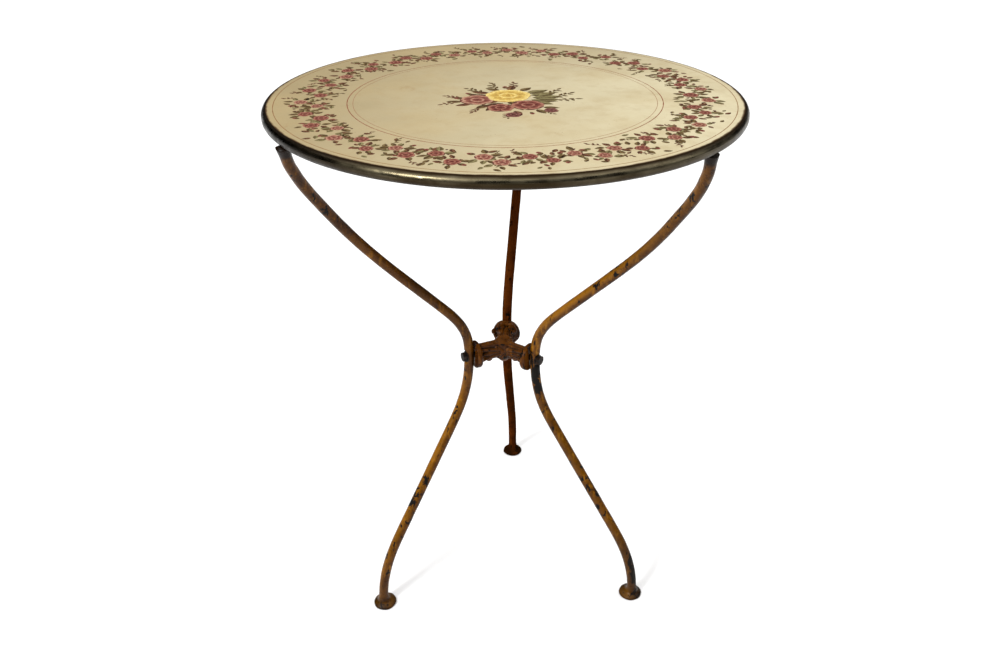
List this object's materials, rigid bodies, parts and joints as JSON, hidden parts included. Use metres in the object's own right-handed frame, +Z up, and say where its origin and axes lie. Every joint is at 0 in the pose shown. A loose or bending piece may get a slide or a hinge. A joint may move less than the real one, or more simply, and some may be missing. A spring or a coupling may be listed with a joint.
{
  "type": "bistro table",
  "caption": "Round bistro table with a painted, flower-decorated top in a metal band, on three S-bent iron legs joined by a cast hub.",
  "frame": {"origin": "on the floor, under the middle of the top", "axes": "+Z up, -Y towards the viewer, +X to the viewer's right"},
  "size_m": [0.5999, 0.6, 0.74],
  "materials": {
    "cream_paint": "satin",
    "aged_band": "satin",
    "board_wood": "matte",
    "ochre_paint": "gloss",
    "cast_paint": "satin",
    "bare_iron": "satin"
  },
  "bodies": {
    "root": {"painted_top": "cream_paint", "core_board_1": "board_wood", "core_board_2": "board_wood", "core_board_3": "board_wood", "core_board_4": "board_wood", "rim_band": "aged_band", "rim_pins": "aged_band", "leg_left": "ochre_paint", "leg_right": "ochre_paint", "leg_back": "ochre_paint", "hub": "cast_paint", "hub_bolt_left": "bare_iron", "hub_bolt_right": "bare_iron", "hub_bolt_back": "bare_iron", "hub_washer_left": "bare_iron", "hub_washer_right": "bare_iron", "hub_washer_back": "bare_iron", "pad_screws_left": "bare_iron", "pad_screws_right": "bare_iron", "pad_screws_back": "bare_iron"}
  },
  "joints": []
}
